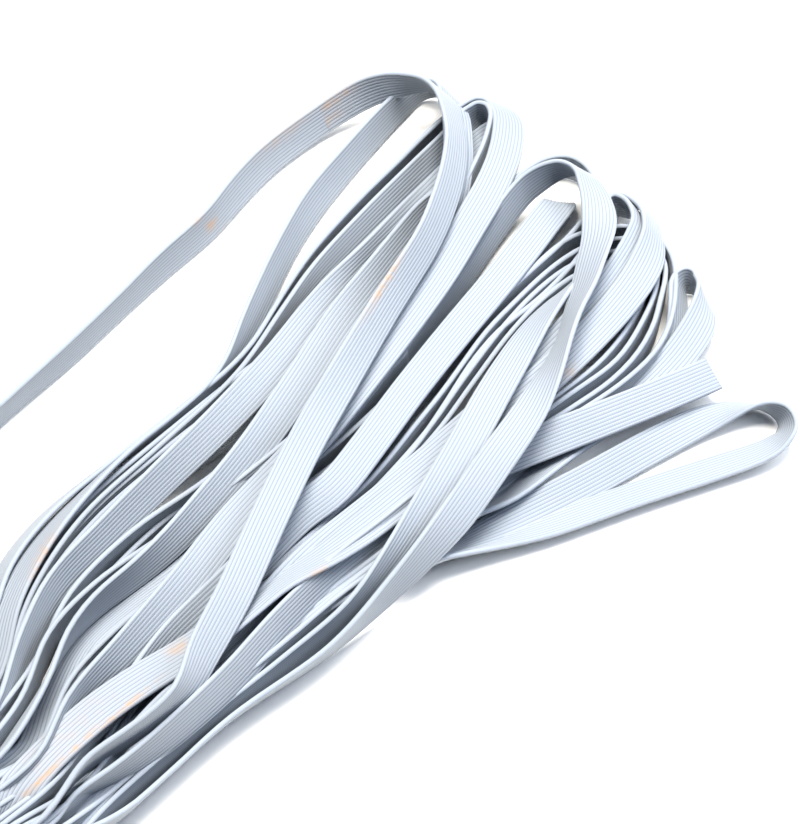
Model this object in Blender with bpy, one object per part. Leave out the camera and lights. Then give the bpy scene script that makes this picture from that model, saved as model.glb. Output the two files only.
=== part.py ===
"""Loose hank of flat ribbed elastic band, lying on a table. Metres, +Z up.

The hank's length runs along X: its open fan of loops is at +X, its waist and plain
folds at -X. The origin is on the table, under the middle of the bundle. The wound
form is one body: a low core with the main turns of band laid over and round it.
The band's two free ends are pieces of their own.
"""

import bmesh
import bpy
import numpy as np

MM = 0.001

BAND_WIDTH = 8.0 * MM
BAND_THICKNESS = 1.6 * MM  # one layer of band with its ribs
GAP = 0.4 * MM  # air between a free end and the hank

# The eye from which the stations of the turns were surveyed on the table's plane.
EYE = np.array((-283.4, -283.4, 513.0)) * MM

# Sections of the core: along X, near edge, far edge and height, all in mm.
CORE_SECTIONS = (
    # along, near, far, height
    (-206, -28, -12, 5.0),
    (-180, -32, -9, 9.0),
    (-150, -31, -9, 11.0),
    (-125, -34, -4, 10.0),
    (-100, -34, 8, 8.0),
    (-70, -33, 21, 7.0),
    (-40, -32, 27, 6.0),
    (-10, -31, 31, 5.0),
    (20, -29, 35, 4.0),
    (45, -25, 37, 3.6),
    (64, -15, 36, 3.0),
)
# Half profile of the core's back: share of the width, share of the height.
CORE_PROFILE = ((0.0, 0.0), (0.0, 0.45), (0.12, 0.85), (0.32, 1.0), (0.68, 1.0), (0.88, 0.85), (1.0, 0.45), (1.0, 0.0))

# Each turn's stations: along and across are where the line of sight from EYE through
# the band's middle meets the table, height is the middle's real height, all in mm,
# and roll turns the band from flat (0 or 180) to standing on its edge (90).
TURNS = {
    "far_loop": (
        # along, across, height, roll
        (50, 76.6, 5, 62), (60, 76, 7, 62), (67, 74.3, 9.8, 74), (72.2, 71.2, 11.8, 92),
        (75.9, 67.4, 12.8, 112), (75.4, 59, 14, 129), (68.5, 49.5, 15.2, 128), (60, 42.4, 15.8, 130),
        (50, 36.2, 16.3, 130), (40, 31.3, 16.8, 127), (20, 24.3, 17.2, 134), (0, 16.8, 17.2, 147),
        (-20, 9, 17.6, 165), (-40, -0.2, 18, 168), (-60, -10, 18, 152), (-80, -18.2, 16.8, 118),
        (-100, -20.9, 15.5, 97), (-118, -22, 14.5, 93),
    ),
    "second_loop": (
        (-110, 11, 9, 132), (-95, 22.3, 9, 135), (-80, 29, 8.6, 135), (-65, 32.6, 8, 128), (-50, 34.1, 7, 116),
        (-38, 33.6, 5.4, 103), (-26, 34.1, 4.5, 94), (-17, 36.6, 4.3, 84), (-8, 41.3, 4.2, 72),
        (5, 47.8, 4.2, 65), (18, 54, 4.2, 65), (30, 58.6, 4.2, 60), (45, 62.4, 4.3, 64), (62, 66, 4.5, 68),
        (74.8, 66.4, 4.8, 94), (77.6, 61, 7.2, 126), (73.6, 54.4, 9.8, 149), (70.3, 50.7, 10.2, 150),
        (62.8, 43.3, 10.4, 150), (51, 34.8, 10.2, 150), (30, 26, 9.2, 155), (0, 16.5, 8.5, 160),
        (-30, 9, 8.5, 170),
    ),
    "fourth_loop": (
        (-105, 20, 7, 84), (-90, 30, 6, 80), (-75, 34, 5, 80), (-55, 35, 4.4, 92), (-30, 34.8, 4.3, 100),
        (-8, 38.3, 4.4, 103), (20, 48.2, 4.6, 104), (45, 52.4, 4.6, 100), (65, 54.2, 4.7, 100),
        (74, 54.8, 4.8, 104), (82.6, 52, 6, 126), (82.1, 45.6, 7.8, 150), (71.9, 36.9, 9.6, 168),
        (62.7, 32.3, 10, 168), (50, 27.6, 10.4, 166), (35, 22.2, 11, 168), (10, 15.3, 12, 170),
        (-20, 8.2, 12.4, 172), (-45, 4.3, 13.3, 166), (-65, -0.4, 14, 142), (-85, -4, 13.6, 122),
        (-102, -6.6, 12.8, 102), (-116, -13, 12, 98),
    ),
    "fifth_loop": (
        (-114, 2, 11, 80), (-100, 11.2, 11.5, 76), (-85, 18.3, 12, 68), (-68, 21.1, 12, 58),
        (-50, 23.6, 12, 40), (-30, 26.1, 11.3, 16), (-10, 29.6, 10, 10), (8, 34, 8.6, 30), (25, 37.3, 6.2, 66),
        (40, 39, 4.2, 50), (54, 40.6, 2.2, 22), (71.6, 43.6, 1.6, 14), (75.2, 42.6, 3.2, 52),
        (75.8, 39.8, 4.5, 88), (62, 31.4, 4.6, 94), (45, 24, 4.8, 94), (10, 12.5, 5.5, 110),
        (-30, 8.5, 8, 115),
    ),
    "sixth_loop": (
        (-122, -5.5, 12, 118), (-104, 0.7, 12.8, 112), (-92, 6.6, 13.2, 98), (-82, 8.8, 13.4, 88),
        (-70, 8.9, 13.4, 78), (-60, 9.6, 13.3, 64), (-50, 11.2, 13.2, 46), (-30, 15.5, 12.6, 16),
        (-10, 21.6, 11.8, 8), (8, 27.8, 10.4, 24), (22, 31.6, 9, 48), (36, 35.2, 7.2, 58), (54, 37.4, 5, 92),
        (56, 34, 4.8, 108), (52, 29.2, 4.6, 118), (42, 24, 4.5, 122), (20, 15.4, 4.5, 120),
    ),
    "seventh_loop": (
        (5, 8, 4.6, 90), (25, 13.5, 4.8, 84), (42, 18.7, 5, 74), (56, 23.4, 5.6, 66), (67, 26.2, 7.4, 68),
        (78.6, 25, 10.8, 100), (81.5, 19.2, 12.4, 136), (77.8, 12.4, 13.6, 158), (69.7, 4.3, 14.6, 200),
        (62.4, -0.1, 15, 214), (49, -7.2, 15.2, 235), (39.5, -12.3, 15, 238), (30, -16.6, 15, 216),
        (20, -20.4, 15, 188), (5, -24.4, 14.8, 166), (-10, -28.4, 13.2, 144), (-22, -30.7, 11, 118),
        (-36, -32.6, 8, 100), (-55, -34.2, 5.4, 84), (-82, -31.6, 4.6, 78), (-112, -32.6, 4.6, 80),
    ),
    "eighth_loop": (
        (20, 17.5, 5.2, 90), (50, 25.2, 4.8, 88), (66, 28, 4.6, 88), (74, 28, 4.6, 88), (81, 23.4, 4.6, 91),
        (80.4, 16, 4.6, 92), (74.5, 7.6, 4.6, 94), (69, 3, 4.8, 92), (63, -0.3, 5.6, 84), (50, -2, 10.6, 54),
        (40, -4, 12.3, 35), (30, -7.1, 13, 16), (18, -11.2, 13.8, 2), (0, -18, 14, -10), (-16, -23.4, 12, -56),
        (-30, -27.3, 10, -82), (-45, -30.2, 8, -98), (-65, -30.6, 6.4, -103), (-90, -30.2, 5.6, -100),
    ),
    "ninth_loop": (
        (-116, -19, 9, 95), (-92, -12, 9.4, 82), (-76, -9, 10, 54), (-60, -7.6, 10.8, 40),
        (-45, -5.6, 11.4, 46), (-35, -4.4, 11.8, 40), (-25, -4.7, 12, 16), (-12, -1.8, 11.7, 6),
        (5, 2.7, 11, 3), (25, 7.3, 10, 2), (45, 11.5, 9.4, 2), (58, 14.6, 8.8, 4), (70, 17, 5.8, 24),
        (70.4, 13.6, 4, 92), (56, 12.6, 1.9, 160), (40, 9.4, 1.3, 172), (10, 2.6, 1.3, 174),
    ),
    "eleventh_loop": (
        (20, 3, 4.5, 94), (45, 6, 4.6, 96), (62, 7.4, 4.6, 98), (74, 9.8, 4.8, 102), (82.6, 7, 6.4, 118),
        (82.5, 0, 9.2, 125), (79.3, -4.2, 10.6, 127), (65.5, -11.5, 11.6, 165), (55, -13.8, 11.2, 166),
        (35, -16, 10.8, 168), (10, -16.6, 10.6, 170), (-12, -17, 10.8, 172), (-28, -17, 11.4, 182),
        (-40, -16.3, 12.2, 202), (-50, -14.6, 13, 212), (-62, -14.2, 13.4, 202), (-76, -13.6, 13.7, 186),
        (-90, -11.7, 13.9, 178), (-102, -11.2, 14, 176), (-120, -13.2, 13.6, 170),
    ),
    "thirteenth_loop": (
        (20, 2.5, 4.5, 93), (34, 4.8, 4.6, 95), (48, 6.4, 4.6, 97), (57, 7.3, 4.6, 98), (63, 6.8, 4.6, 98),
        (73.4, 0.6, 4.6, 95), (76.8, -8, 4.6, 90), (73.5, -15.5, 4.6, 89), (65.2, -23.2, 4.6, 89),
        (58, -27.6, 4.6, 89), (50, -30.4, 4.6, 90), (38, -32, 4.4, 91), (10, -31.2, 4.4, 92),
    ),
    "fourteenth_loop": (
        (44, -34.4, 2.4, 16), (54, -31.8, 3.2, 36), (61.6, -28, 4.2, 62), (67.2, -22.8, 4.7, 75),
        (71, -19.6, 4.7, 80), (73.6, -19.4, 4.6, 86), (73.6, -24.2, 4.9, 104), (66, -30.3, 6.3, 154),
        (55, -33.3, 6.8, 164), (42, -34.6, 6.6, 154), (28, -34.8, 6.2, 134), (16, -34.3, 5.8, 116),
        (4, -33.7, 5.4, 105), (-12, -30.2, 5.4, 95),
    ),
    "near_loop": (
        (-50, -29.6, 4.3, 96), (-30, -31.6, 4.1, 112), (-15, -35.2, 2.8, 155), (0, -39, 1.8, 186),
        (15, -42.6, 1.8, 189), (32, -45.9, 1.8, 186), (45, -48.9, 2, 174), (53, -52, 3, 150),
        (58.9, -58, 4.2, 108), (56.6, -64.2, 4, 54), (50, -64.5, 2.9, 28), (40, -60.7, 2.4, 18),
        (20, -52.2, 2.4, 17), (0, -44.4, 2.5, 20), (-13, -38.9, 3.2, 32), (-26, -35, 4.2, 62),
        (-38, -32.4, 4.3, 82),
    ),
    "cut_run": (
        (-120, -25.5, 10.0, 100), (-108, -25.3, 10.6, 80), (-92, -26.1, 11.2, 68), (-75, -25.0, 11.3, 63),
        (-58, -22.4, 11.1, 60), (-42, -20.9, 10.0, 62), (-25, -21.2, 9.0, 64), (-12, -21.6, 8.6, 58),
    ),
}
LOOSE_ENDS = {
    "loose_end_left": (
        (50, 76.6, 5, 118), (32, 76.3, 4.5, 118), (20, 74.1, 4.5, 116), (8, 71, 4.5, 108),
        (-8, 69.4, 4.5, 103), (-22, 67.3, 4.5, 95), (-40, 64.7, 4.5, 92), (-60, 62.6, 4.5, 85),
        (-74, 61, 4.5, 84), (-86, 59.2, 4.5, 82),
    ),
    "loose_end_right": (
        (-12, -21.6, 8.6, 58), (6, -24.8, 8.7, 44), (18, -28.8, 8.6, 30), (32, -33.7, 8.2, 24), (46, -38.4, 7.2, 22),
        (57.5, -42.0, 6.0, 20),
    ),
}

# The plain folds at the -X end, which lie on their edges side by side.
FOLDS = 9
SURVEY_END = -75.0  # mm along; a turn that starts or ends past this runs on into the waist
FOLD_START = -112.0  # mm along, where the folds' legs sink into the bundle
WAIST = (-150.0, -20.0)  # mm, the narrowest place
FOLD_TIP = -226.0
FOLD_SPREAD = 36.0  # mm across all the folds at their tips


def on_line_of_sight(rows):
    """Lift each surveyed station from the table to its real height, towards EYE."""
    rows = np.array(rows, float)
    ground = np.column_stack((rows[:, 0] * MM, rows[:, 1] * MM, np.zeros(len(rows))))
    share = rows[:, 2:3] * MM / EYE[2]
    return np.column_stack((ground + (EYE - ground) * share, rows[:, 3]))


def smooth_line(stations, step):
    """A Hermite curve through stations (x, y, z, roll), about one point every step."""
    apart = np.linalg.norm(np.diff(stations[:, :3], axis=0), axis=1)
    at = np.concatenate(([0.0], np.cumsum(np.sqrt(apart))))
    slope = np.gradient(stations, at, axis=0)
    points = []
    for i, length in enumerate(apart):
        count = max(1, round(length / step))
        u = np.linspace(0, 1, count, endpoint=False)[:, None]
        width = at[i + 1] - at[i]
        points.append(
            (2 * u**3 - 3 * u**2 + 1) * stations[i]
            + (u**3 - 2 * u**2 + u) * width * slope[i]
            + (3 * u**2 - 2 * u**3) * stations[i + 1]
            + (u**3 - u**2) * width * slope[i + 1]
        )
    points.append(stations[-1:])
    return np.vstack(points)


def across_and_out(line):
    """At each point, the direction across the band and the one out of its face."""
    along = np.gradient(line[:, :3], axis=0)
    along /= np.linalg.norm(along, axis=1)[:, None]
    level = np.cross((0.0, 0.0, 1.0), along)
    level /= np.linalg.norm(level, axis=1)[:, None]
    upright = np.cross(along, level)
    roll = np.radians(line[:, 3:4])
    across = np.cos(roll) * level + np.sin(roll) * upright
    return across, np.cross(along, across)


def mesh_object(name, corners, faces):
    """An object from corners and faces, with its faces turned outwards."""
    mesh = bpy.data.meshes.new(name)
    mesh.from_pydata([tuple(p) for p in corners], [], faces)
    shape = bmesh.new()
    shape.from_mesh(mesh)
    bmesh.ops.recalc_face_normals(shape, faces=shape.faces)
    shape.to_mesh(mesh)
    shape.free()
    obj = bpy.data.objects.new(name, mesh)
    bpy.context.scene.collection.objects.link(obj)
    return obj


def swept_sections(name, sections):
    """A closed body through equal rings of corners, one ring for each section."""
    rings, sides = sections.shape[:2]
    faces = [
        (r * sides + s, r * sides + (s + 1) % sides, (r + 1) * sides + (s + 1) % sides, (r + 1) * sides + s)
        for r in range(rings - 1)
        for s in range(sides)
    ]
    faces.append(tuple(range(sides)))
    faces.append(tuple(range((rings - 1) * sides, rings * sides)))
    return mesh_object(name, sections.reshape(-1, 3), faces)


def band(name, line, grow=0.0):
    """A flat band swept along line, made larger by grow on every side."""
    across, out = across_and_out(line)
    half_w = BAND_WIDTH / 2 + grow
    half_t = BAND_THICKNESS / 2 + grow
    middle = line[:, :3].copy()
    if grow:
        middle[0] -= (middle[1] - middle[0]) / np.linalg.norm(middle[1] - middle[0]) * grow
        middle[-1] += (middle[-1] - middle[-2]) / np.linalg.norm(middle[-1] - middle[-2]) * grow
    corners = [middle + a * half_w * across + b * half_t * out for a, b in ((1, 1), (1, -1), (-1, -1), (-1, 1))]
    return swept_sections(name, np.stack(corners, axis=1))


def core():
    """The low body inside the bundle: flat underneath, with a rounded back."""
    sections = []
    for along, near, far, height in CORE_SECTIONS:
        sections.append([(along, near + share * (far - near), up * height) for share, up in CORE_PROFILE])
    return swept_sections("core", np.array(sections, float) * MM)


def turn_line(rows):
    """One turn's line, whose ends at -X run on and sink into the waist."""
    stations = on_line_of_sight(rows)
    for last, place in ((0, 0), (-1, len(stations))):
        x, y, z, roll = stations[last]
        if x < SURVEY_END * MM:
            inner = WAIST[1] * MM + 0.45 * (y - WAIST[1] * MM)
            low = min(z, 9.0 * MM)
            tail = ((x - 20 * MM, 0.6 * y + 0.4 * inner, 0.5 * (z + low), roll), (WAIST[0] * MM, inner, low, 90),
                    ((WAIST[0] - 24) * MM, WAIST[1] * MM + 0.2 * (y - WAIST[1] * MM), 4.4 * MM, 90))
            stations = np.insert(stations, place, tail if last else tail[::-1], axis=0)
    return stations


def fold_line(index):
    """Stations of one plain fold: out through the waist, round its tip and back."""
    share = index / (FOLDS - 1) - 0.5
    upper = index % 2
    height = 4.4 + 6.0 * upper
    tip = FOLD_TIP + 4.0 * (index % 3)
    spread = FOLD_SPREAD * (1 - 0.35 * upper)
    rows = (
        (FOLD_START, -14 + 36 * share, 4.4, 92),
        (WAIST[0] + 18, -18 + 27 * share, 4.4 + 3 * upper, 90),
        (WAIST[0], WAIST[1] + 20 * share - 1.6, height, 88),
        (WAIST[0] - 38, WAIST[1] + 0.8 * spread * share - 3.0, height, 90),
        (tip + 8, WAIST[1] + spread * share - 3.6, height, 92),
        (tip + 1.5, WAIST[1] + spread * share - 2.2, height, 92),
        (tip, WAIST[1] + spread * share, height, 92),
        (tip + 1.5, WAIST[1] + spread * share + 2.2, height, 92),
        (tip + 8, WAIST[1] + spread * share + 3.6, height, 92),
        (WAIST[0] - 34, WAIST[1] + 0.8 * spread * share + 3.0, height, 90),
        (WAIST[0], WAIST[1] + 20 * share + 1.6, height, 88),
        (WAIST[0] + 20, -18 + 27 * share + 2.0, 4.4 + 3 * upper, 90),
        (FOLD_START, -14 + 36 * share + 2.0, 4.4, 92),
    )
    stations = np.array(rows, float)
    stations[:, :3] *= MM
    return stations


def evaluated(obj):
    """A plain mesh copy of obj with its modifiers worked out."""
    seen = obj.evaluated_get(bpy.context.evaluated_depsgraph_get())
    return bpy.data.meshes.new_from_object(seen)


def boolean(obj, operation, operands):
    """Join operands to obj, or cut them from it, and keep the result as its mesh."""
    group = bpy.data.collections.new("operands")
    bpy.context.scene.collection.children.link(group)
    for operand in operands:
        group.objects.link(operand)
    modifier = obj.modifiers.new(operation, "BOOLEAN")
    modifier.operation = operation
    modifier.solver = "MANIFOLD"
    modifier.operand_type = "COLLECTION"
    modifier.collection = group
    bpy.context.view_layer.update()
    obj.data = evaluated(obj)
    obj.modifiers.clear()
    bpy.data.collections.remove(group)
    for operand in operands:
        bpy.data.objects.remove(operand)


def keep_largest_body(obj):
    """Drop slivers and closed pockets, so that one body is left."""
    shape = bmesh.new()
    shape.from_mesh(obj.data)
    bmesh.ops.triangulate(shape, faces=shape.faces)
    shape.faces.ensure_lookup_table()
    waiting = set(shape.faces)
    bodies = []
    while waiting:
        body = set()
        edge_of_body = [waiting.pop()]
        while edge_of_body:
            face = edge_of_body.pop()
            body.add(face)
            for edge in face.edges:
                for other in edge.link_faces:
                    if other in waiting:
                        waiting.discard(other)
                        edge_of_body.append(other)
        bodies.append(body)
    largest = max(bodies, key=lambda body: sum(face.calc_area() for face in body))
    extra = [face for body in bodies if body is not largest for face in body]
    bmesh.ops.delete(shape, geom=extra, context="FACES")
    shape.to_mesh(obj.data)
    shape.free()


def give_material(obj, name, colour, roughness):
    """One matt material for the whole object."""
    material = bpy.data.materials.new(name)
    material.use_nodes = True
    shader = material.node_tree.nodes["Principled BSDF"]
    shader.inputs["Base Color"].default_value = (*colour, 1.0)
    shader.inputs["Roughness"].default_value = roughness
    shader.inputs["Metallic"].default_value = 0.0
    obj.data.materials.clear()
    obj.data.materials.append(material)


def loose_end(name, grow=0.0, start=GAP):
    """One free end of the band, which starts a small gap away from the hank."""
    line = smooth_line(on_line_of_sight(LOOSE_ENDS[name]), 7 * MM)
    step = line[1] - line[0]
    line[0] += step * start / np.linalg.norm(step[:3])
    return band(name, line, grow)


def main():
    for obj in list(bpy.data.objects):
        bpy.data.objects.remove(obj)

    hank = core()
    hank.name = "hank"
    turns = [band(name, smooth_line(turn_line(rows), 9 * MM)) for name, rows in TURNS.items()]
    folds = [band(f"fold_{i}", smooth_line(fold_line(i), 18 * MM)) for i in range(FOLDS)]
    boolean(hank, "UNION", turns + folds)
    room = [loose_end(name, GAP, 0.0) for name in LOOSE_ENDS]
    boolean(hank, "DIFFERENCE", room)
    keep_largest_body(hank)
    give_material(hank, "elastic_wound", (0.78, 0.84, 0.89), 0.8)

    for name in LOOSE_ENDS:
        give_material(loose_end(name), "elastic_" + name, (0.82, 0.87, 0.92), 0.8)


main()
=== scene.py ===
"""Loose hank of flat ribbed elastic band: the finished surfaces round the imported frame.

All routes are in millimetres in the tables below and in metres everywhere else.
"""

import bpy
import numpy as np
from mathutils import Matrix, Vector


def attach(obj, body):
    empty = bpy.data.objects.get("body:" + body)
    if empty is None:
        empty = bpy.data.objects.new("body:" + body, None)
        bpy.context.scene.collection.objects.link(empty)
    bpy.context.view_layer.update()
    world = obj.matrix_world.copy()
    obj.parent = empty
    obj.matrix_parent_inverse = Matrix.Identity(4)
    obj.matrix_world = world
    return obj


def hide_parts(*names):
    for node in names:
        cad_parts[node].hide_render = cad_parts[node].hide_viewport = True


bl_info = {
    "name": "Ribbed elastic hank",
    "version": (1, 0, 0),
    "blender": (4, 5, 0),
    "location": "3D View > Sidebar > Elastic hank",
    "description": "Builds a loose hank of flat ribbed elastic band on its table",
    "category": "Add Mesh",
}

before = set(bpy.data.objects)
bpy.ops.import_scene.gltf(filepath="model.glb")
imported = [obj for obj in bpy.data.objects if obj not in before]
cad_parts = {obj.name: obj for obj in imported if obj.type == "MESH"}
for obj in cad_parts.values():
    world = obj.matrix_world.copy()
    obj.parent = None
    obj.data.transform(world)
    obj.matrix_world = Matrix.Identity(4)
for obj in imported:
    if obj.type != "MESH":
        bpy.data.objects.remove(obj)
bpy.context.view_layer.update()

MM = 0.001

# The eye, the photograph's view point, from which the stations were surveyed.
EYE = np.array((-283.4, -283.4, 513.0)) * MM
SENSOR_WIDTH = 36.0  # mm
LENS = 131.9  # mm

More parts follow.
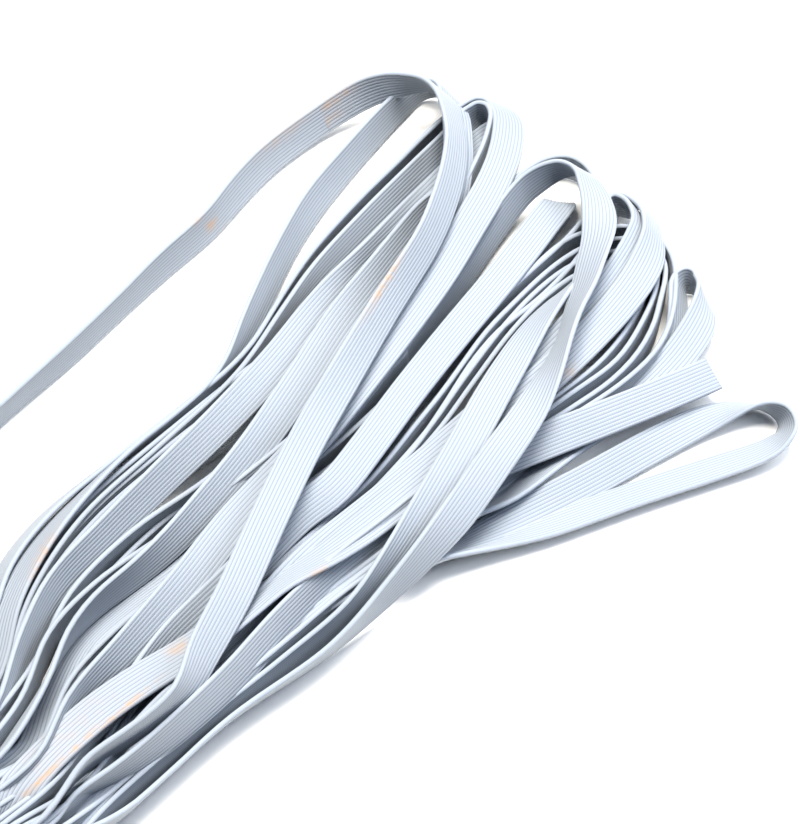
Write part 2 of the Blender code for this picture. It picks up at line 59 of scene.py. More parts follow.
# Each turn's stations: along, across, height, roll. Along and across are where the line
# of sight from EYE through the band's middle meets the table, height is the middle's
# real height, all in mm, and roll turns the band from flat (0 or 180 degrees) to
# standing on its edge (90).
TURNS = {
    "far_loop": (
        (32, 76.3, 4.5, 62), (50, 76.6, 5, 62), (60, 76, 7, 62), (67, 74.3, 9.8, 74), (72.2, 71.2, 11.8, 92),
        (75.9, 67.4, 12.8, 112), (76.7, 63.4, 13.4, 124), (75.4, 59, 14, 129), (72.6, 54.7, 14.6, 129),
        (68.5, 49.5, 15.2, 128), (60, 42.4, 15.8, 130), (50, 36.2, 16.3, 130), (40, 31.3, 16.8, 127),
        (20, 24.3, 17.2, 134), (0, 16.8, 17.2, 147), (-20, 9, 17.6, 165), (-40, -0.2, 18, 168),
        (-60, -10, 18, 152), (-73, -15.4, 17.4, 138), (-81, -19.2, 16.8, 114), (-86, -20.3, 16.4, 94),
        (-91, -20.5, 16, 87), (-97, -20.4, 15.5, 86), (-103, -19.8, 15, 84), (-108, -19.2, 14.5, 80),
        (-113, -19.6, 14, 74), (-118, -21, 13.6, 70), (-124, -22.9, 13, 72),
    ),
    "second_loop": (
        (-110, 11, 9, 150), (-95, 22.3, 9, 148), (-80, 29, 8.6, 140), (-65, 32.6, 8, 129), (-50, 34.1, 7, 116),
        (-38, 33.6, 5.4, 103), (-26, 34.1, 4.5, 94), (-17, 36.8, 4.6, 84), (-8, 41.2, 4.7, 70),
        (5, 47.8, 4.2, 65), (18, 54, 4.2, 65), (30, 58.6, 4.2, 60), (45, 62.4, 4.3, 64), (62, 66, 4.5, 68),
        (70, 67, 4.6, 78), (74.8, 66.4, 4.8, 94), (77.2, 64.2, 5.6, 110), (77.6, 61, 7.2, 126),
        (76, 58, 8.8, 142), (73.6, 54.4, 9.8, 149), (70.3, 50.7, 10.2, 150), (62.8, 43.3, 10.4, 150),
        (51, 34.8, 10.2, 150), (30, 26, 9.2, 155), (0, 16.5, 8.5, 160), (-30, 9, 8.5, 170), (-60, 4, 9, 190),
        (-78, 4, 9.5, 208), (-92, 2.8, 9.5, 208), (-104, -3, 9, 190), (-116, -10, 8.5, 150),
    ),
    "third_loop": (
        (-112, 6, 7, 95), (-90, 19.3, 6.5, 92), (-70, 26.3, 6, 92), (-45, 28.8, 5.5, 92), (-20, 31.5, 4.8, 90),
        (0, 37.3, 4.4, 82), (15, 41.4, 4.3, 70), (35, 44.8, 4.1, 60), (55, 47.6, 4.1, 58), (67, 49.2, 4.2, 58),
        (74, 51.2, 4.8, 68), (78.2, 51.4, 5.8, 90), (79.5, 49.3, 6.4, 98), (78.2, 46.4, 6.6, 102),
        (75, 43.8, 6.6, 104), (70, 40.7, 6.4, 104), (64.4, 38, 6, 104), (57.7, 35, 5.6, 103),
        (45, 28.9, 5.2, 100), (20, 21.5, 4.8, 97), (-20, 15.5, 7, 92), (-45, 14.7, 7.5, 88), (-65, 16, 8, 86),
        (-85, 13.2, 8, 88), (-103, 4.5, 8, 92),
    ),
    "fourth_loop": (
        (-105, 19.6, 7, 128), (-90, 29.6, 6, 127), (-75, 34, 5.4, 126), (-55, 35, 4.7, 122),
        (-30, 34.8, 4.4, 112), (-22, 34.4, 4.3, 104), (-12, 36, 4.3, 102), (-2.2, 39.8, 4.4, 103),
        (7.8, 43.6, 4.5, 103), (18, 46.8, 4.6, 104), (37.8, 50.4, 4.6, 100), (50, 52, 4.6, 100),
        (65, 54.2, 4.7, 100), (74, 54.8, 4.8, 104), (79.6, 54.4, 5.2, 113), (82.6, 52, 6, 126),
        (83.2, 49, 6.8, 140), (82.1, 45.6, 7.8, 150), (78.4, 41.6, 8.8, 161), (71.9, 36.9, 9.6, 168),
        (62.7, 32.3, 10, 168), (50, 27.6, 10.4, 166), (35, 22.2, 11, 168), (10, 15.3, 12, 170),
        (-20, 8.2, 12.4, 172), (-45, 4.3, 13.3, 166), (-65, -0.4, 14, 142), (-85, -4, 13.6, 122),
        (-102, -6.6, 12.8, 102), (-116, -13, 12, 98),
    ),
    "fifth_loop": (
        (-114, 2, 11, 80), (-100, 11.2, 11.5, 76), (-85, 18.3, 12, 68), (-68, 21.1, 12, 60), (-50, 23.6, 12, 54),
        (-30, 26.1, 11.3, 40), (-10, 29.6, 10, 24), (8, 34, 8.6, 30), (25, 37.3, 6.2, 66), (40, 39, 4.2, 50),
        (54, 40.6, 2.2, 22), (65, 42.6, 1.4, 10), (71.6, 43.6, 1.6, 14), (75.2, 42.6, 3.2, 52),
        (75.8, 39.8, 4.5, 88), (72.5, 37, 4.6, 93), (62, 31.4, 4.6, 94), (45, 24, 4.8, 94), (10, 12.5, 5.5, 110),
        (-30, 8.5, 8, 115), (-60, 10, 9.5, 92), (-80, 11.3, 10, 88), (-95, 8.6, 10, 90), (-110, 0, 9.5, 92),
    ),
    "sixth_loop": (
        (-122, -5.5, 12, 118), (-104, 0.7, 12.8, 112), (-92, 6.6, 13.2, 98), (-82, 8.8, 13.4, 88),
        (-70, 8.9, 13.4, 78), (-60, 9.6, 13.3, 66), (-50, 11.2, 13.2, 56), (-40, 13.2, 13, 50),
        (-30, 15.5, 12.6, 42), (-10, 21.6, 11.8, 20), (8, 27.8, 10.4, 24), (22, 31.6, 9, 48),
        (36, 35.2, 7.2, 58), (47, 37.8, 5.8, 70), (54, 37.4, 5, 92), (56, 34, 4.8, 108), (52, 29.2, 4.6, 118),
        (42, 24, 4.5, 122), (20, 15.4, 4.5, 120), (-20, 4, 5.5, 105), (-60, 0, 6.5, 92), (-85, -0.8, 8, 90),
        (-100, -3.6, 8.5, 92), (-114, -11, 8.5, 92),
    ),
    "seventh_loop": (
        (-112, -12, 5, 95), (-60, -3, 4.6, 94), (-20, 2.5, 4.5, 92), (5, 8, 4.6, 90), (25, 13.5, 4.8, 84),
        (42, 18.7, 5, 74), (56, 23.4, 5.6, 66), (67, 26.2, 7.4, 68), (74, 26.2, 9.4, 80), (78.6, 25, 10.8, 100),
        (81.2, 22.4, 11.8, 122), (81.5, 19.2, 12.4, 136), (80.1, 16.2, 13, 146), (77.8, 12.4, 13.6, 158),
        (74.2, 8.2, 14.2, 178), (69.7, 4.3, 14.6, 200), (62.4, -0.1, 15, 214), (55.3, -4.2, 15.2, 224),
        (49, -7.2, 15.2, 235), (44.4, -9.8, 15.1, 241), (39.5, -12.3, 15, 238), (34.5, -14.7, 15, 228),
        (30, -16.6, 15, 216), (20, -20.4, 15, 188), (5, -24.4, 14.8, 166), (-10, -28.4, 13.2, 144),
        (-22, -30.7, 11, 118), (-36, -32.6, 8, 96), (-55, -34.2, 5.4, 74), (-82, -31.8, 4.8, 66),
        (-112, -33, 4.6, 68),
    ),
    "eighth_loop": (
        (-112, -14, 6, 95), (-60, -4, 6, 94), (-20, 5.5, 6.3, 92), (20, 17.5, 5.2, 90), (50, 25.2, 4.8, 88),
        (66, 28, 4.6, 88), (74, 28, 4.6, 88), (78.6, 26.2, 4.6, 90), (81, 23.4, 4.6, 91), (81.4, 19.8, 4.6, 91),
        (80.4, 16, 4.6, 92), (78, 12, 4.7, 96), (74.5, 7.6, 4.6, 94), (69, 3, 4.8, 92), (63, -0.3, 5.6, 84),
        (57, -1.5, 8, 68), (50, -2, 10.6, 54), (45, -2.9, 11.6, 44), (40, -4, 12.3, 35), (30, -7.1, 13, 16),
        (18, -11.2, 13.8, 2), (0, -18, 14, -10), (-16, -23.4, 12, -36), (-30, -27.3, 10, -64),
        (-45, -30.2, 7.4, -86), (-65, -30.4, 4.8, -90), (-90, -30.2, 4.4, -90), (-114, -31, 4.4, -92),
    ),
    "ninth_loop": (
        (-116, -19, 9, 95), (-92, -12, 9.4, 82), (-76, -9, 10, 54), (-60, -7.6, 10.8, 40), (-45, -5.6, 11.4, 46),
        (-35, -4.4, 11.8, 40), (-25, -4.7, 12, 16), (-12, -1.8, 11.7, 6), (5, 2.7, 11, 3), (25, 7.3, 10, 2),
        (45, 11.5, 9.4, 2), (58, 14.6, 8.8, 4), (64, 16.1, 8.3, 4), (68.5, 17.1, 7, 4), (70.4, 17.5, 5.2, 4),
        (70.2, 17.3, 3, 4), (69.3, 16.9, 1, 4),
    ),
    "ninth_return": (
        (68, 16.5, 1, 176), (56, 13.4, 1, 176), (40, 9.8, 1, 176), (10, 3, 1, 176), (-12, -3, 1.2, 170),
        (-40, -10, 3.2, 130), (-80, -19, 4.4, 98), (-114, -26, 4.6, 92),
    ),
    "tenth_loop": (
        (-112, -16, 4.5, 92), (-60, -14.5, 4.4, 92), (-20, -13, 4.4, 91), (-7, -11.2, 4.4, 92),
        (8, -6.8, 4.5, 93), (18, -3.4, 4.5, 95), (30, -0.8, 4.6, 97), (44, -0.6, 4.6, 98), (60, 1.5, 4.6, 94),
        (70, 5.2, 4.6, 86), (76.2, 8, 4.8, 84), (79.4, 7.8, 5.4, 92), (81, 5.2, 6.8, 105), (81.2, 2, 8.6, 124),
        (79.9, -0.9, 10.2, 140), (77.2, -2.8, 11, 148), (71.7, -5.1, 11.2, 150), (60, -8.4, 11, 154),
        (45, -10.8, 10.4, 160), (25, -12.9, 10, 168), (5, -14, 9.8, 176), (-20, -14.6, 9.8, 182),
        (-36, -14.8, 10, 172), (-50, -16, 10, 142), (-70, -18.5, 9.6, 105), (-95, -20.5, 9.2, 94),
        (-116, -25, 9, 92),
    ),
    "eleventh_loop": (
        (-114, -17, 4.6, 92), (-60, -10.5, 4.5, 92), (-20, -6, 4.5, 93), (20, 3, 4.5, 94), (45, 6, 4.6, 96),
        (62, 7.4, 4.6, 98), (74, 9.8, 4.8, 102), (79.6, 9.6, 5.2, 110), (82.6, 7, 6.4, 118),
        (83.3, 3.4, 7.8, 124), (82.5, 0, 9.2, 125), (81.2, -1.9, 10, 124), (79.3, -4.2, 10.6, 127),
        (77, -6.2, 11, 136), (72.4, -8.9, 11.4, 152), (65.5, -11.5, 11.6, 165), (55, -13.8, 11.2, 166),
        (35, -16, 10.8, 168), (10, -16.6, 10.6, 170), (-12, -17, 10.8, 172), (-28, -17, 11.4, 182),
        (-40, -16.3, 12.2, 202), (-50, -14.6, 13, 212), (-62, -14.2, 13.4, 202), (-76, -13.6, 13.7, 186),
        (-90, -11.7, 13.9, 178), (-102, -11.2, 14, 176), (-120, -13.2, 13.6, 170),
    ),
    "twelfth_loop": (
        (-114, -19, 4.6, 92), (-60, -13, 4.5, 92), (-20, -10.5, 4.5, 92), (-2, -6.7, 4.5, 93),
        (8, -4.5, 4.5, 94), (18, -1.7, 4.6, 95), (28, 1, 4.6, 96), (38, 2.4, 4.6, 97), (48, 3.5, 4.6, 98),
        (56, 3.6, 4.6, 98), (63, 2.6, 4.6, 97), (69.4, -1, 4.6, 95), (72.6, -4.6, 4.6, 92), (73.6, -9, 4.6, 90),
        (72.6, -12.8, 4.6, 90), (70.4, -15.8, 4.6, 90), (67, -18.4, 4.6, 90), (62.4, -21.1, 4.6, 90),
        (57.4, -24.2, 4.6, 90), (48, -27.6, 4.6, 89), (37.8, -28.9, 4.6, 90), (26, -28, 4.6, 91),
        (14, -26.6, 4.6, 92), (-30, -26, 4.6, 92), (-70, -24.4, 4.6, 92), (-114, -25.4, 4.5, 92),
    ),
    "thirteenth_loop": (
        (-114, -21, 4.4, 92), (-50, -12, 4.4, 92), (0, -1.5, 4.4, 92), (20, 2.5, 4.5, 93), (34, 4.8, 4.6, 95),
        (48, 6.4, 4.6, 97), (57, 7.3, 4.6, 98), (63, 6.8, 4.6, 98), (68, 4.6, 4.6, 97), (73.4, 0.6, 4.6, 95),
        (76, -3.4, 4.6, 92), (76.8, -8, 4.6, 90), (75.6, -12.1, 4.6, 90), (73.5, -15.5, 4.6, 89),
        (70.6, -18.6, 4.6, 89), (65.2, -23.2, 4.6, 89), (58, -27.6, 4.6, 89), (50, -30.4, 4.6, 90),
        (38, -31.2, 4.4, 91), (26, -30, 4.4, 91), (14, -28.6, 4.4, 92), (0, -28, 4.4, 92), (-25, -27.6, 4.3, 92),
        (-70, -25.6, 4.3, 92), (-114, -26.6, 4.3, 92),
    ),
    "fourteenth_loop": (
        (-114, -24.6, 4.4, 92), (-50, -26, 1.4, 8), (-10, -29, 0.9, 2), (10, -30.6, 0.8, 0), (30, -33.6, 0.8, 0),
        (44, -34, 1.2, 6), (54, -31.8, 3.4, 30), (61.6, -28, 4.4, 48), (67.2, -22.8, 4.8, 56),
        (71, -19.6, 4.9, 62), (73.6, -19.4, 4.8, 76), (74.4, -21.2, 4.6, 94), (73.6, -24.2, 4.9, 104),
        (71.2, -27.2, 5.5, 126), (66, -30.3, 6.3, 154), (55, -33.3, 5.6, 168), (42, -34.6, 4.2, 184),
        (30, -34.4, 3.3, 198), (20, -33.6, 3, 210), (10, -33.5, 3.1, 216), (0, -33.3, 3.4, 222),
        (-8, -32, 3.9, 238), (-18, -30.4, 4.6, 256), (-30, -28.8, 5.6, 266), (-44, -27.4, 6.2, 268),
        (-60, -27.8, 6.2, 270), (-85, -28.2, 5.6, 272), (-114, -29.4, 5.2, 272),
    ),
    "fifteenth_loop": (
        (-114, -17.5, 4.5, 92), (-50, -16, 4.5, 92), (-5, -10.5, 4.5, 92), (15, -5, 4.5, 94),
        (32, -0.8, 4.5, 95), (46, 1.2, 4.5, 96), (57, 0.6, 4.5, 95), (65, -2.6, 4.5, 94), (69.6, -6.4, 4.5, 92),
        (71, -10, 4.5, 90), (70, -13.4, 4.5, 90), (67.4, -16, 4.5, 90), (62.8, -19, 4.5, 90),
        (57.8, -21.3, 4.5, 90), (52.8, -23.2, 4.5, 90), (47.8, -24.8, 4.5, 90), (42.8, -25.8, 4.5, 90),
        (37.8, -26, 4.5, 91), (30, -25.4, 4.5, 92), (15, -24.6, 4.5, 92), (-20, -24.2, 4.5, 92),
        (-70, -23.2, 4.5, 92), (-114, -24, 4.5, 92),
    ),
    "sixteenth_loop": (
        (-114, -15.5, 4.4, 92), (-50, -15, 4.4, 92), (-5, -12.5, 4.4, 92), (15, -7.5, 4.4, 94),
        (32, -3.2, 4.4, 95), (46, -1.4, 4.4, 96), (56, -2.2, 4.4, 95), (63, -4.8, 4.4, 94), (67.4, -8, 4.4, 92),
        (68.6, -11, 4.4, 90), (66.8, -14, 4.4, 90), (62, -17, 4.4, 90), (55, -20, 4.4, 90), (47, -22.4, 4.4, 90),
        (38, -23.8, 4.4, 91), (28, -23.6, 4.4, 92), (10, -22.8, 4.4, 92), (-30, -22.4, 4.4, 92),
        (-70, -22, 4.4, 92), (-114, -22.6, 4.4, 92),
    ),
    "near_loop": (
        (-114, -28.6, 4.3, 92), (-80, -27.4, 4.3, 92), (-50, -28.2, 4.3, 96), (-30, -31.2, 4.1, 112),
        (-15, -35.2, 2.8, 155), (0, -39, 2.4, 196), (15, -42.6, 2.4, 201), (32, -45.9, 2.3, 198),
        (45, -48.9, 2.2, 180), (53, -52, 3, 150), (56.8, -54.7, 3.7, 130), (58.9, -58, 4.2, 108),
        (59, -61.6, 4.2, 80), (56.6, -64.2, 4, 54), (50, -64.5, 2.9, 28), (40, -60.7, 2.4, 18),
        (20, -52.2, 2.4, 17), (0, -44.4, 2.5, 20), (-13, -38.4, 3, 38), (-26, -33.6, 3.6, 66),
        (-38, -30, 4.2, 84), (-60, -27.6, 4.3, 90), (-80, -26.4, 4.3, 90), (-114, -27.4, 4.3, 91),
    ),
}
CUT_RUN = (
    (-123, -25.0, 9.6, 112), (-118, -23.7, 9.9, 106), (-113, -24.0, 10.2, 100), (-108, -25.0, 10.5, 92),
    (-101, -25.9, 10.9, 80), (-92, -26.0, 11.2, 72), (-75, -25.0, 11.3, 63),
    (-58, -22.4, 11.1, 60), (-42, -20.9, 10.0, 62), (-25, -21.2, 9.0, 64), (-12, -21.6, 8.6, 58),
    (6, -24.8, 8.7, 44),
)
LOOSE_ENDS = {
    "loose_end_left": (
        (60, 76, 7, 118), (50, 76.6, 5, 118), (32, 76.3, 4.5, 118), (20, 74.1, 4.5, 116), (8, 71, 4.5, 108),
        (-8, 69.4, 4.5, 103), (-22, 67.3, 4.5, 95), (-40, 64.7, 4.5, 92), (-60, 62.6, 4.5, 85), (-74, 61, 4.5, 84),
        (-86, 59.2, 4.5, 82),
    ),
    "loose_end_right": (
        (-25, -21.2, 9, 64), (-12, -21.6, 8.6, 58), (6, -24.8, 8.7, 44), (18, -28.8, 8.6, 30),
        (32, -33.7, 8.2, 24), (46, -38.4, 7.2, 22), (57.5, -42, 6, 20),
    ),
}
# Routes that meet at a joint carry on one station past it: at their start or end.
PAST_JOINT = {"far_loop": 1, "cut_run": -2, "loose_end_left": 1, "loose_end_right": 1}

# Worn tan places: the band, the place as seen on the table in mm, heading in degrees,
# reach along and across in mm, and how dark.
MARKS = (
    ("far_loop", 57, 79, 0, 5, 1.6, 0.7), ("far_loop", 51, 75.5, 8, 7, 2, 0.3), ("far_loop", 24, 29, 21, 9, 0.9, 0.7),
    ("loose_end_left", 8, 71, 12, 1, 5, 0.7), ("loose_end_left", 40, 79.5, 4, 9, 1.6, 0.3),
    ("eleventh_loop", -95, -14.6, 2, 7, 0.6, 0.9), ("eleventh_loop", -106, -14.4, 6, 5, 0.6, 0.7),
    ("eleventh_loop", -118, -15.4, 6, 7, 0.6, 0.9), ("eleventh_loop", -108, -11, 4, 16, 4, 0.14),
    ("eleventh_loop", -44, -18.6, 10, 2.6, 1, 0.8), ("eleventh_loop", -77, -11.4, 8, 2, 1.5, 0.7),
    ("eleventh_loop", 34, -18.6, 0, 1.3, 1.3, 1), ("second_loop", -82, 26, 28, 6, 1.4, 0.6),
)

# Turns that lie on their edges deep in the bundle, as shares of its width.
BORDERS = (
    # along, near border, far border, all as seen on the table in mm
    (-112, -31, 6), (-90, -29, 24), (-70, -29, 31), (-45, -29, 33), (-20, -29, 32), (0, -30, 36),
    (20, -29, 41), (45, -25, 45), (62, -17, 47), (72, -11, 47),
)
UNDER_TURNS = (
    # share of one leg, share of the other, tip along, height
    (0.03, 0.09, -20, 4.2), (0.18, 0.23, -8, 4.3), (0.22, 0.26, -4, 4.2), (0.44, 0.50, 14, 4.4),
    (0.56, 0.60, 10, 4.2), (0.64, 0.68, 2, 4.3), (0.83, 0.87, 2, 4.2), (0.90, 0.95, -12, 4.3),
)
ON_EDGE = 92  # their roll: not quite upright
TIP_LENGTH = 8  # mm from a tip back to where its legs run straight

BEND = 7.0  # degrees that a band bends or rolls from one ring to the next, at most
SHORTEST_STEP = 0.25  # share of a step between two rings in a bend, at least

# The plain folds at the -X end, in mm. Four neighbouring legs make two folds, one
# within the other.
WAIST_ALONG = -150.0  # where the legs are drawn together most
WAIST_MIDDLE = -20.0
LEG_SPACING = 1.2  # between neighbouring legs in the waist
WAIST_LEAD = 14.0  # before the waist, the legs are still LEAD_SPREAD times as far apart
LEAD_SPREAD = 1.1
FOLD_REACH = 32.0  # past the waist, where the folds have REACH_SHARE of their spread
REACH_SHARE = 0.7
FOLD_SPREAD = 50.0  # across all the folds at their tips
FOLD_TIP = -226.0
LEGS_IN_FOLD = 4
INNER_SHORTER = 3.5  # for each slot that a fold is narrower than all its four
HALF_FOLD = (1.3, 0.85)  # a fold's half width: at least, and more for each slot across
TIP_LEAD = 10.0  # the fold narrows from here to its tip
UNEVEN = 2.0  # how far the tips lie before and behind their line, as a sine wave
UNEVEN_TURN = 2.3  # radians of that wave from one slot to the next
LAYERS = (4.3, 12.2)  # heights of the middles of the two layers

# Ends that don't run on into a fold: at the two free ends, and the ninth loop's crease.
NO_FOLD = (("far_loop", 0), ("cut_run", -1), ("ninth_loop", -1), ("ninth_return", 0))

RIB_FULLNESS = 0.6  # power of a sine: below 1 makes the ribs fuller than a plain arch
EDGE_SHARE = 0.35  # thickness that is left at the very edge of the band
EDGE_ROUNDING = 2.2  # edges are full thickness after one rib's width over this

ELASTIC = "braided_polyester_elastic"  # the one material of every band

TABLE_REACH = 4.0  # m from the origin to the table's edges, out of the picture
# Softboxes that look at the origin: name, place in m, power in W, side in m, colour.
SOFTBOXES = (
    ("softbox_above", (0.14, 0.2, 1.25), 36.0, 0.8, "#fffdf9"),
    ("softbox_side", (0.9, -0.2, 0.8), 4.5, 0.6, "#f4f8ff"),
    ("softbox_front", (0.2, -0.28, 0.36), 1.05, 0.26, "#e4eeff"),
)


# ---------------------------------------------------------------- routes


def on_line_of_sight(rows):
    """Lift each surveyed station from the table to its real height, towards EYE."""
    rows = np.array(rows, float)
    ground = np.column_stack((rows[:, :2] * MM, np.zeros(len(rows))))
    share = rows[:, 2:3] * MM / EYE[2]
    return np.column_stack((ground + (EYE - ground) * share, rows[:, 3]))


def smooth_line(stations, size):
    """A Hermite curve through stations (x, y, z, roll), with about one point every
    step, and one for every few degrees that it bends or rolls. The table holds the
    middle up by half the thickness and half the width times the sine of the roll."""
    apart = np.linalg.norm(np.diff(stations[:, :3], axis=0), axis=1)
    at = np.concatenate(([0.0], np.cumsum(np.sqrt(apart))))
    slope = np.gradient(stations, at, axis=0)
    heading = np.unwrap(np.arctan2(slope[:, 1], slope[:, 0]))
    turned = np.degrees(np.abs(np.diff(heading))) + np.abs(np.diff(stations[:, 3]))
    points = []
    for i, length in enumerate(apart):
        closest = round(length / (SHORTEST_STEP * size.step))
        count = max(2, round(length / size.step), min(round(turned[i] / BEND), closest))
        u = np.linspace(0, 1, count, endpoint=False)[:, None]
        width = at[i + 1] - at[i]
        points.append(
            (2 * u**3 - 3 * u**2 + 1) * stations[i]
            + (u**3 - 2 * u**2 + u) * width * slope[i]
            + (3 * u**2 - 2 * u**3) * stations[i + 1]
            + (u**3 - u**2) * width * slope[i + 1]
        )
    points.append(stations[-1:])
    line = np.vstack(points)
    line[1:-1] = (line[:-2] + 2 * line[1:-1] + line[2:]) / 4
    held = size.width / 2 * np.abs(np.sin(np.radians(line[:, 3]))) + size.thickness / 2
    line[:, 2] = np.maximum(line[:, 2], held)
    return line


def cut_at_joint(name, line, stations):
    """The line without its part past the joint, if that route has a joint."""
    if name not in PAST_JOINT:
        return line
    joint = stations[PAST_JOINT[name], :3]
    ring = np.linalg.norm(line[:, :3] - joint, axis=1).argmin()
    return line[ring:] if PAST_JOINT[name] > 0 else line[: ring + 1]


def under_rows(near_leg, far_leg, tip, height):
    """Stations of a turn that lies deep in the bundle: both legs keep their share of
    its width, and meet in a round tip."""
    along, near, far = np.array(BORDERS, float).T
    legs = [near + share * (far - near) for share in (near_leg, far_leg)]
    sides = [np.interp(tip, along, leg) for leg in legs]
    bend, middle = (sides[1] - sides[0]) / 2, (sides[1] + sides[0]) / 2
    turn = np.radians((90, 45, 0, -45, -90))
    straight = along < tip - TIP_LENGTH
    places = (
        *zip(along[straight], legs[1][straight]),
        *zip(tip + bend * np.cos(turn), middle + bend * np.sin(turn)),
        *zip(along[straight][::-1], legs[0][straight][::-1]),
    )
    return [(x, y, height, ON_EDGE) for x, y in places]


def join_routes(parts):
    """One route from several, each part's roll turned by half turns to follow on."""
    joined = parts[0]
    for part in parts[1:]:
        part = part.copy()
        part[:, 3] += 180 * round((joined[-1, 3] - part[0, 3]) / 180)
        joined = np.vstack((joined, part))
    return joined


def half_fold(slot, partner, count, layer):
    """Stations of the hidden half of a fold: from a leg in its slot, through the waist,
    to the tip that it shares with the leg in its partner's slot. Slots number the
    layer's count of legs from the near side to the far side."""
    apart = abs(partner - slot)
    between = (slot + partner) / 2
    side = -1 if partner > slot else 1
    last = max(count - 1, 1)
    waist = (slot - last / 2) * LEG_SPACING
    middle = (between / last - 0.5) * FOLD_SPREAD
    width = HALF_FOLD[0] + HALF_FOLD[1] * apart
    shorter = INNER_SHORTER * (LEGS_IN_FOLD - 1 - apart)
    tip = FOLD_TIP + shorter + UNEVEN * np.sin(UNEVEN_TURN * between + layer)
    rows = (
        # along, across from the waist's middle: the waist, a long narrow loop, a round tip
        (WAIST_ALONG + WAIST_LEAD, LEAD_SPREAD * waist),
        (WAIST_ALONG, waist),
        (WAIST_ALONG - FOLD_REACH, REACH_SHARE * middle + side * 0.9 * width),
        (tip + TIP_LEAD, middle + side * width),
        (tip + 0.3 * width, middle + side * 0.7 * width),
        (tip, middle),
    )
    return np.array([(x * MM, (WAIST_MIDDLE + y) * MM, LAYERS[layer] * MM, 90) for x, y in rows])


def shared_folds(routes):
    """For each leg (route's name, end 0 or -1) that runs on into a fold: its slot, its
    partner's slot, the number of slots and the layer. The lower half of the legs fill
    the lower layer, and the slots follow the legs' places across the bundle."""
    legs = [(name, end) for name in routes for end in (0, -1) if (name, end) not in NO_FOLD]
    legs.sort(key=lambda leg: routes[leg[0]][leg[1], 2])
    half = len(legs) // 2
    half += half % 2
    folds = {}
    for layer, members in enumerate((legs[:half], legs[half:])):
        members.sort(key=lambda leg: routes[leg[0]][leg[1], 1])
        for slot, leg in enumerate(members):
            first = slot - slot % LEGS_IN_FOLD
            partner = first + min(first + LEGS_IN_FOLD, len(members)) - 1 - slot
            if partner != slot:
                folds[leg] = (slot, partner, len(members), layer)
    return folds


def whole_routes():
    """Every turn's stations, from the tip of one hidden fold to the tip of the next."""
    tables = dict(TURNS)
    for i, row in enumerate(UNDER_TURNS):
        tables[f"under_turn_{i + 1}"] = under_rows(*row)
    tables["cut_run"] = CUT_RUN
    routes = {name: on_line_of_sight(rows) for name, rows in tables.items()}
    folds = shared_folds(routes)
    whole = {}
    for name, stations in routes.items():
        parts = [stations]
        if (name, 0) in folds:
            parts.insert(0, half_fold(*folds[name, 0])[::-1])
        if (name, -1) in folds:
            parts.append(half_fold(*folds[name, -1]))
        whole[name] = join_routes(parts)
    return whole


def length_of(line):
    """The length of a route, in metres."""
    return float(np.linalg.norm(np.diff(line[:, :3], axis=0), axis=1).sum())


# ---------------------------------------------------------------- band surface


def band_profile(size):
    """The band's cross-section as (across, out, share of the width), once round: ribs
    side by side on both faces, each a low arch between two grooves. Half the thickness
    is its full value times groove + (1 - groove) times the sine over the rib to the
    power of the fullness, and at each edge it grows with the square root of the
    distance from the edge."""
    v = np.linspace(0, 1, size.ribs * size.rib_steps + 1)
    arch = np.abs(np.sin(np.pi * v * size.ribs)) ** RIB_FULLNESS
    groove = 1 - size.groove_depth / (size.thickness / 2)
    edge = np.clip(np.minimum(v, 1 - v) * size.ribs, 0, 1)
    rounded = EDGE_SHARE + (1 - EDGE_SHARE) * np.sqrt(np.clip(edge * EDGE_ROUNDING, 0, 1))
    half = size.thickness / 2 * (groove + (1 - groove) * arch) * rounded
    across = (v - 0.5) * size.width
    top = np.column_stack((across, half, v))
    under = np.column_stack((across, -half, v))[::-1]
    return np.vstack((top, under))


def directions(line):
    """Along, across and out of the face at each point: the level direction is up
    times along, and roll turns it about the band's own line."""
    along = np.gradient(line[:, :3], axis=0)
    along /= np.linalg.norm(along, axis=1)[:, None]
    level = np.cross((0.0, 0.0, 1.0), along)
    level /= np.linalg.norm(level, axis=1)[:, None]
    roll = np.radians(line[:, 3:4])
    across = np.cos(roll) * level + np.sin(roll) * np.cross(along, level)
    return along, across, np.cross(along, across)


def seen_place(points):
    """Where the line of sight from EYE through each point meets the table."""
    return EYE[:2] + (points[..., :2] - EYE[:2]) * (EYE[2] / (EYE[2] - points[..., 2:3]))


def worn_share(name, points):
    """How worn the band is at each point: the largest, over its tan marks, of the
    mark's darkness times e to the minus sum of squares of the distances from the mark
    along and across its heading, each over the mark's reach."""
    seen = seen_place(points) / MM
    worn = np.zeros(points.shape[:2])
    for band, x, y, heading, reach, side, dark in MARKS:
        if name == "band_" + band:
            turn = np.radians(heading)
            right, up = seen[..., 0] - x, seen[..., 1] - y
            far = (right * np.cos(turn) + up * np.sin(turn)) / reach
            off = (up * np.cos(turn) - right * np.sin(turn)) / side
            worn = np.maximum(worn, dark * np.exp(-(far**2) - off**2))
    return worn


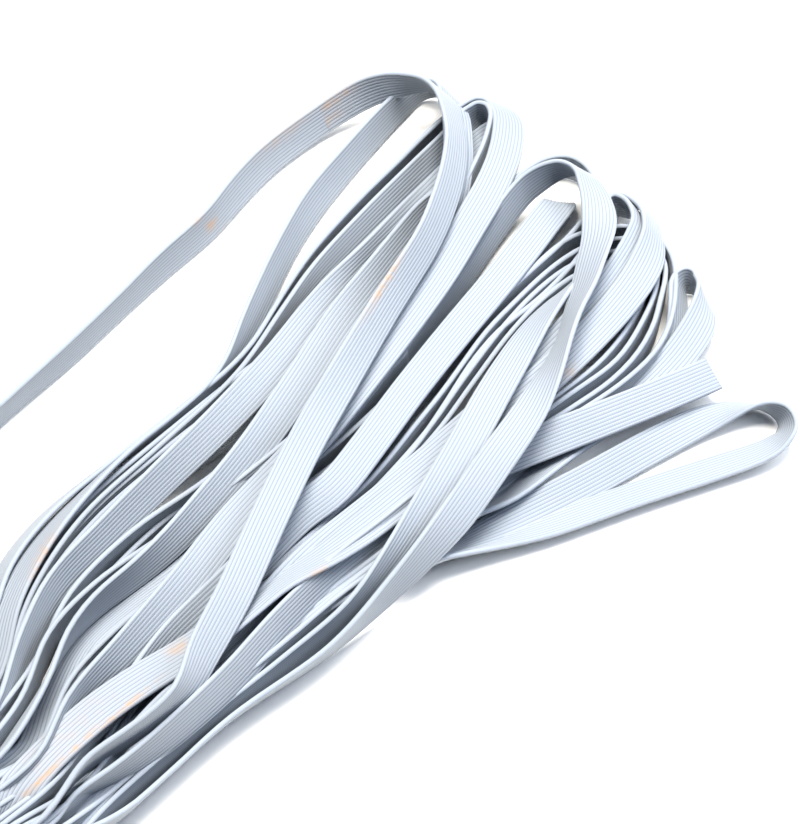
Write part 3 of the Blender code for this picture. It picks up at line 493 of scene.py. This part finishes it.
def band_mesh(name, line, size):
    """The ribbed band along line. Point (i, j) is the line's point i plus the
    profile's j-th offsets along the across and out directions there."""
    profile = band_profile(size)
    _, across, out = directions(line)
    points = line[:, None, :3] + profile[None, :, 0:1] * across[:, None] + profile[None, :, 1:2] * out[:, None]
    rings, sides = points.shape[:2]
    points = np.concatenate((points, points[:1], points[-1:]))  # the caps' own corners, for crisp ends
    i, j = np.meshgrid(np.arange(rings - 1), np.arange(sides), indexing="ij")
    k = (j + 1) % sides
    quads = np.stack((i * sides + j, i * sides + k, (i + 1) * sides + k, (i + 1) * sides + j), axis=-1).reshape(-1, 4)
    half = sides // 2
    caps = []
    for ring, order in ((rings, 1), (rings + 1, -1)):
        top = ring * sides + np.arange(half)
        under = ring * sides + sides - 1 - np.arange(half)
        strip = np.stack((top[:-1], under[:-1], under[1:], top[1:]), axis=-1)[:, ::order]
        caps.append(strip)
    faces = np.vstack((quads, *caps))
    mesh = bpy.data.meshes.new(name)
    mesh.from_pydata(points.reshape(-1, 3).tolist(), [], faces.tolist())
    length = np.concatenate(([0.0], np.cumsum(np.linalg.norm(np.diff(line[:, :3], axis=0), axis=1))))
    u = np.repeat(np.append(length, length[[0, -1]]) / MM, sides)
    v = np.tile(profile[:, 2] * size.ribs, rings + 2)
    corners = np.zeros(len(mesh.loops), int)
    mesh.loops.foreach_get("vertex_index", corners)
    layer = mesh.uv_layers.new(name="band")
    layer.data.foreach_set("uv", np.column_stack((u[corners], v[corners])).astype(np.float32).ravel())
    worn = mesh.attributes.new("worn", "FLOAT", "POINT")
    worn.data.foreach_set("value", worn_share(name, points).ravel().astype(np.float32))
    mesh.polygons.foreach_set("use_smooth", [True] * len(mesh.polygons))
    mesh.update()
    obj = bpy.data.objects.new(name, mesh)
    bpy.context.scene.collection.objects.link(obj)
    return obj


def add_band(scene, name, stations):
    """The band along a route's stations, in its material: gives the piece and its line."""
    size = scene.elastic_size
    line = cut_at_joint(name, smooth_line(stations, size), stations)
    piece = band_mesh("band_" + name, line, size)
    piece.data.materials.append(bpy.data.materials.get(ELASTIC) or braided_elastic(size, scene.elastic_look))
    return piece, line


# ---------------------------------------------------------------- materials


def linear(colour):
    """An sRGB hex colour as linear red, green, blue and alpha."""
    values = [int(colour[i : i + 2], 16) / 255 for i in (1, 3, 5)]
    return tuple(c / 12.92 if c <= 0.04045 else ((c + 0.055) / 1.055) ** 2.4 for c in values) + (1.0,)


def add_node(tree, kind, inputs=None, **settings):
    """Add a node of that kind with its settings; inputs maps a socket's number or name
    to the socket that feeds it or to its constant value."""
    node = tree.nodes.new(kind)
    for key, value in settings.items():
        setattr(node, key, value)
    for key, value in (inputs or {}).items():
        if isinstance(value, bpy.types.NodeSocket):
            tree.links.new(value, node.inputs[key])
        else:
            node.inputs[key].default_value = value
    return node


def new_material(name):
    """An empty node material with its output, and a Principled shader linked to it."""
    material = bpy.data.materials.new(name)
    material.use_nodes = True
    tree = material.node_tree
    tree.nodes.clear()
    output = tree.nodes.new("ShaderNodeOutputMaterial")
    shader = tree.nodes.new("ShaderNodeBsdfPrincipled")
    tree.links.new(shader.outputs[0], output.inputs[0])
    return material, tree, shader


def braided_elastic(size, look):
    """Polyester thread braided over rubber: matt, faintly bluish white, a row of small stitches along each rib,
    painted shade darkening the groove where two ribs meet, and plain bound rims."""
    material, tree, shader = new_material(ELASTIC)
    uv = add_node(tree, "ShaderNodeUVMap", uv_map="band").outputs[0]  # mm along, ribs across
    place = add_node(tree, "ShaderNodeSeparateXYZ", {0: uv})

    # 0 in a groove and 1 on a rib, which is full a fifth of its width from the groove; it places the painted groove
    # shade and the stitches' bump.
    rib = add_node(tree, "ShaderNodeMath", {0: place.outputs[1], 1: 0.5}, operation="PINGPONG").outputs[0]
    groove = add_node(
        tree, "ShaderNodeMapRange", {0: rib, 1: 0.02, 2: 0.22, 3: 0.0, 4: 1.0}, interpolation_type="SMOOTHSTEP"
    ).outputs[0]
    # 1 at the band's two edges, from 0 a third of a rib inwards.
    middle = size.ribs / 2
    side = add_node(tree, "ShaderNodeMath", {0: place.outputs[1], 1: middle}, operation="SUBTRACT").outputs[0]
    side = add_node(tree, "ShaderNodeMath", {0: side}, operation="ABSOLUTE").outputs[0]
    rim = add_node(
        tree, "ShaderNodeMapRange", {0: side, 1: middle - 0.35, 2: middle - 0.1, 3: 0.0, 4: 1.0}
    ).outputs[0]
    # The rims get none of the painted groove shade.
    groove = add_node(tree, "ShaderNodeMath", {0: groove, 1: rim}, operation="MAXIMUM").outputs[0]

    spot = add_node(tree, "ShaderNodeTexCoord").outputs["Object"]
    blotch_scale = 1 / (look.blotch * MM)
    blotch = add_node(tree, "ShaderNodeTexNoise", {"Vector": spot, "Scale": blotch_scale, "Detail": 2.0}).outputs[0]
    tone = add_node(
        tree, "ShaderNodeMix", {0: blotch, 6: linear(look.shade), 7: linear(look.colour)}, data_type="RGBA"
    ).outputs[2]
    # Painted shade: the groove colour darkens the line where two ribs meet.
    groove_shaded = add_node(tree, "ShaderNodeMix", {0: groove, 6: linear(look.groove), 7: tone}, data_type="RGBA").outputs[2]
    edged = add_node(tree, "ShaderNodeMix", {0: rim, 6: groove_shaded, 7: linear(look.rim)}, data_type="RGBA").outputs[2]

    # The tan of worn places comes in flecks, as dirt sits on the stitches.
    worn = add_node(tree, "ShaderNodeAttribute", attribute_name="worn").outputs["Fac"]
    fleck_scale = 1 / (look.fleck * MM)
    flecks = add_node(tree, "ShaderNodeTexNoise", {"Vector": spot, "Scale": fleck_scale, "Detail": 3.0}).outputs[0]
    flecks = add_node(tree, "ShaderNodeMapRange", {0: flecks, 1: 0.38, 2: 0.62, 3: 0.25, 4: 1.0}).outputs[0]
    stain = add_node(tree, "ShaderNodeMath", {0: worn, 1: flecks}, operation="MULTIPLY").outputs[0]
    stained = add_node(tree, "ShaderNodeMix", {0: stain, 6: edged, 7: linear(look.tan)}, data_type="RGBA").outputs[2]
    tree.links.new(stained, shader.inputs["Base Color"])

    # Stitches are a sine along the rib, a tenth of a millimetre deep.
    turn = add_node(tree, "ShaderNodeMath", {0: place.outputs[0], 1: 2 * np.pi / look.stitch}, operation="MULTIPLY")
    wave = add_node(tree, "ShaderNodeMath", {0: turn.outputs[0]}, operation="SINE").outputs[0]
    height = add_node(tree, "ShaderNodeMath", {0: wave, 1: groove}, operation="MULTIPLY").outputs[0]
    bump = add_node(tree, "ShaderNodeBump", {"Strength": 0.08, "Distance": 0.1 * MM, "Height": height})
    tree.links.new(bump.outputs[0], shader.inputs["Normal"])

    # Dry thread: rough, hardly any gloss, and a faint fuzz that lightens it at a slant.
    shader.inputs["Roughness"].default_value = 0.78
    shader.inputs["IOR"].default_value = 1.45
    shader.inputs["Specular IOR Level"].default_value = 0.3
    shader.inputs["Sheen Weight"].default_value = 0.15
    shader.inputs["Sheen Roughness"].default_value = 0.5
    return material


def white_laminate():
    """Matt white laminate: hardly any gloss, so the table shows soft shadows alone."""
    material, _, shader = new_material("matt_white_laminate")
    shader.inputs["Base Color"].default_value = linear("#fdfaf4")
    shader.inputs["Roughness"].default_value = 0.9
    return material


# ---------------------------------------------------------------- properties


class BandSize(bpy.types.PropertyGroup):
    """Sizes of the elastic band."""

    width: bpy.props.FloatProperty(name="Width", description="Width of the band", default=0.008, unit="LENGTH")
    thickness: bpy.props.FloatProperty(name="Thickness", description="Over the ribs", default=0.0012, unit="LENGTH")
    ribs: bpy.props.IntProperty(name="Ribs", description="Ribs across the band", default=10)
    rib_steps: bpy.props.IntProperty(name="Rib steps", description="Faces across one rib", default=3)
    groove_depth: bpy.props.FloatProperty(
        name="Groove depth", description="Depth between two ribs", default=0.00016, unit="LENGTH"
    )
    step: bpy.props.FloatProperty(name="Step", description="Distance between rings", default=0.003, unit="LENGTH")


class BandLook(bpy.types.PropertyGroup):
    """Colours and stitch of the elastic band."""

    colour: bpy.props.StringProperty(name="Colour", description="Thread colour, sRGB", default="#9da2a8")
    shade: bpy.props.StringProperty(name="Shade", description="Slightly darker places, sRGB", default="#959ba2")
    # Groove: painted shade along the line where two ribs meet.
    groove: bpy.props.StringProperty(name="Groove", description="Line between two ribs, sRGB", default="#7b848f")
    rim: bpy.props.StringProperty(name="Rim", description="Bound edges, sRGB", default="#9ba2ab")
    tan: bpy.props.StringProperty(name="Tan", description="Worn places, sRGB", default="#b48f68")
    stitch: bpy.props.FloatProperty(name="Stitch", description="Stitch length along a rib, mm", default=0.55)
    blotch: bpy.props.FloatProperty(name="Blotch", description="Size of the darker places, mm", default=26.3)
    fleck: bpy.props.FloatProperty(name="Fleck", description="Size of the flecks of tan, mm", default=1.923)


# ---------------------------------------------------------------- operators


class ELASTIC_OT_camera(bpy.types.Operator):
    """Set the camera at the photograph's eye point, looking at the origin"""

    bl_idname = "elastic.camera"
    bl_label = "Camera"

    def execute(self, context):
        data = bpy.data.cameras.new("camera")
        data.sensor_fit = "HORIZONTAL"
        data.sensor_width = SENSOR_WIDTH
        data.lens = LENS
        data.clip_start = 0.01
        camera = bpy.data.objects.new("camera", data)
        context.scene.collection.objects.link(camera)
        camera.location = EYE
        camera.rotation_euler = (-Vector(EYE)).to_track_quat("-Z", "Y").to_euler()
        context.scene.camera = camera
        return {"FINISHED"}


class ELASTIC_OT_loose_ends(bpy.types.Operator):
    """Make the two free ends of the band"""

    bl_idname = "elastic.loose_ends"
    bl_label = "Loose ends"

    def execute(self, context):
        for name, rows in LOOSE_ENDS.items():
            piece, line = add_band(context.scene, name, on_line_of_sight(rows))
            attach(piece, "root")
            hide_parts(name)
        return {"FINISHED"}


class ELASTIC_OT_turns(bpy.types.Operator):
    """Make every turn of the hank, from one hidden fold to the next"""

    bl_idname = "elastic.turns"
    bl_label = "Turns"

    def execute(self, context):
        total = 0.0
        for name, stations in whole_routes().items():
            piece, line = add_band(context.scene, name, stations)
            total += length_of(line)
            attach(piece, "root")
            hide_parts("hank")
        print("band in the hank, m:", round(total, 2))
        return {"FINISHED"}


class ELASTIC_OT_stage(bpy.types.Operator):
    """Make the pale table and the soft studio light"""

    bl_idname = "elastic.stage"
    bl_label = "Stage"

    def execute(self, context):
        scene = context.scene
        mesh = bpy.data.meshes.new("table_top")
        corners = [(x * TABLE_REACH, y * TABLE_REACH, 0) for x, y in ((-1, -1), (1, -1), (1, 1), (-1, 1))]
        mesh.from_pydata(corners, [], [(0, 1, 2, 3)])
        mesh.materials.append(white_laminate())
        table = bpy.data.objects.new("table_top", mesh)
        scene.collection.objects.link(table)

        world = bpy.data.worlds.new("studio")
        world.use_nodes = True
        background = world.node_tree.nodes["Background"]
        background.inputs[0].default_value = linear("#a4c0f5")
        background.inputs[1].default_value = 0.14
        scene.world = world
        for name, place, power, side, colour in SOFTBOXES:
            data = bpy.data.lights.new(name, "AREA")
            data.shape = "SQUARE"
            data.size = side
            data.energy = power
            data.color = linear(colour)[:3]
            light = bpy.data.objects.new(name, data)
            light.location = place
            light.rotation_euler = (-Vector(place)).to_track_quat("-Z", "Y").to_euler()
            scene.collection.objects.link(light)
        scene.view_settings.view_transform = "Standard"
        scene.view_settings.look = "Medium High Contrast"
        return {"FINISHED"}


class ELASTIC_PT_panel(bpy.types.Panel):
    """Lists the hank's operators"""

    bl_idname = "ELASTIC_PT_panel"
    bl_label = "Elastic hank"
    bl_space_type = "VIEW_3D"
    bl_region_type = "UI"
    bl_category = "Elastic hank"

    def draw(self, context):
        for item in OPERATORS:
            self.layout.operator(item.bl_idname)


OPERATORS = (ELASTIC_OT_camera, ELASTIC_OT_loose_ends, ELASTIC_OT_turns, ELASTIC_OT_stage)
CLASSES = (BandSize, BandLook, *OPERATORS, ELASTIC_PT_panel)


def register():
    """Register the classes and hang the settings on the scene."""
    for item in CLASSES:
        bpy.utils.register_class(item)
    bpy.types.Scene.elastic_size = bpy.props.PointerProperty(type=BandSize)
    bpy.types.Scene.elastic_look = bpy.props.PointerProperty(type=BandLook)


def unregister():
    """Take the settings off the scene and unregister the classes."""
    del bpy.types.Scene.elastic_look
    del bpy.types.Scene.elastic_size
    for item in reversed(CLASSES):
        bpy.utils.unregister_class(item)


def main():
    """Build everything in order."""
    register()
    bpy.ops.elastic.camera()
    bpy.ops.elastic.loose_ends()
    bpy.ops.elastic.turns()
    bpy.ops.elastic.stage()


if __name__ == "__main__":
    main()
